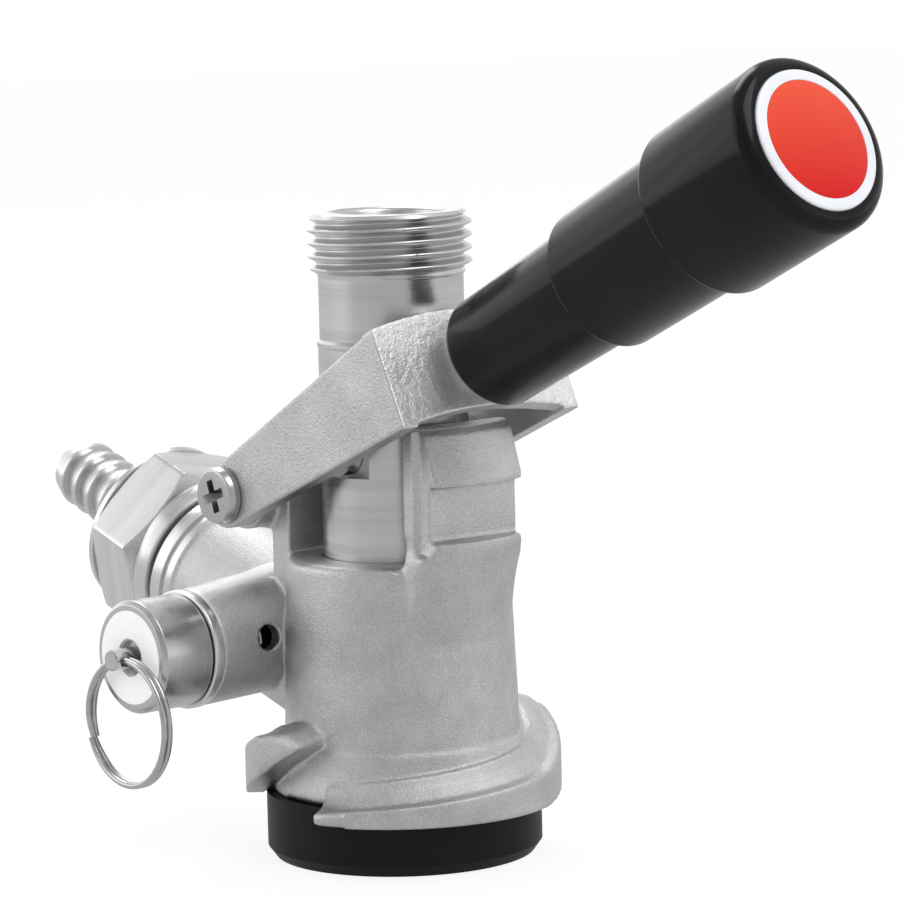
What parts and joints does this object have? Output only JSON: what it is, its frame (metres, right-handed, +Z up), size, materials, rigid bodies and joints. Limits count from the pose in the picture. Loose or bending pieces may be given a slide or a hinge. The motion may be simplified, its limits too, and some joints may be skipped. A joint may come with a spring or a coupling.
{
  "type": "keg coupler",
  "caption": "Lever-handled keg coupler: bayonet body with a sliding beer probe, angled gas inlet with hose barb, and a ring-pull relief valve.",
  "frame": {"origin": "centre of the bottom seal's lower face, on the probe's axis, where the coupler sits on the keg valve", "axes": "+Z up the probe towards the beer outlet, +X towards the grip, -X towards the gas inlet, -Y towards the relief valve"},
  "size_m": [0.1643, 0.0585, 0.1116],
  "materials": {
    "casting": "satin, fine bead-blasted skin on an investment casting",
    "machined": "turned and polished stainless steel",
    "steel_small": "bright stainless hardware",
    "grip_black": "glossy moulded black",
    "badge_white": "smooth white moulding",
    "badge_red": "glossy domed inlay",
    "label_white": "bare white film",
    "seal_black": "smooth moulded rubber",
    "washer_grey": "plain nylon",
    "bush_nylon": "plain nylon"
  },
  "bodies": {
    "body": {"body_casting": "casting", "bottom_seal": "seal_black", "lower_o_ring": "seal_black", "upper_o_ring": "seal_black", "gas_nut": "machined", "gas_tailpiece": "machined", "gas_washer": "washer_grey", "gas_check_valve": "seal_black", "relief_cap": "machined", "relief_gasket": "seal_black", "relief_label": "label_white", "relief_spring": "steel_small", "hinge_screw_left": "steel_small", "hinge_screw_right": "steel_small", "hinge_washer_left": "washer_grey", "hinge_washer_right": "washer_grey"},
    "probe": {"probe": "machined", "probe_seal": "seal_black", "ball_retainer": "steel_small"},
    "check_ball": {"beer_check_ball": "steel_small"},
    "lever": {"lever_yoke": "casting", "drive_pin_left": "steel_small", "drive_pin_right": "steel_small", "latch_bush": "bush_nylon", "latch_spring": "steel_small"},
    "grip": {"grip": "grip_black", "latch_plunger": "machined", "plunger_nut": "steel_small", "badge_ring": "badge_white", "badge_disc": "badge_red"},
    "relief_pin": {"relief_pin": "machined", "relief_seal": "seal_black"},
    "pull_ring": {"pull_ring": "steel_small"}
  },
  "joints": [
    {"name": "lever_hinge", "type": "hinge", "parent": "body", "child": "lever", "pos_m": [-0.0189, 0, 0.0505], "axis": [0, 1, 0], "range_deg": [0, 28]},
    {"name": "probe_slide", "type": "slide", "parent": "body", "child": "probe", "axis": [0, 0, -1], "range_m": [0, 0.01]},
    {"name": "grip_slide", "type": "slide", "parent": "lever", "child": "grip", "axis": [0.8988, 0, 0.4384], "range_m": [-0.003, 0.0015], "stiffness_N_per_m": 400, "springref_m": -0.006, "deforming": ["latch_spring"]},
    {"name": "ball_lift", "type": "slide", "parent": "probe", "child": "check_ball", "axis": [0, 0, 1], "range_m": [0, 0.004]},
    {"name": "relief_lift", "type": "slide", "parent": "body", "child": "relief_pin", "axis": [0, -1, 0], "range_m": [0, 0.003], "stiffness_N_per_m": 900, "springref_m": -0.004, "deforming": ["relief_spring"]},
    {"name": "ring_swing", "type": "hinge", "parent": "relief_pin", "child": "pull_ring", "pos_m": [-0.0195, -0.0344, 0.0294], "axis": [-1, 0, 0], "range_deg": [-3, 90]}
  ],
  "couplings": [
    {"joint": "probe_slide", "follows": "lever_hinge", "m_per_rad": 0.0203}
  ]
}
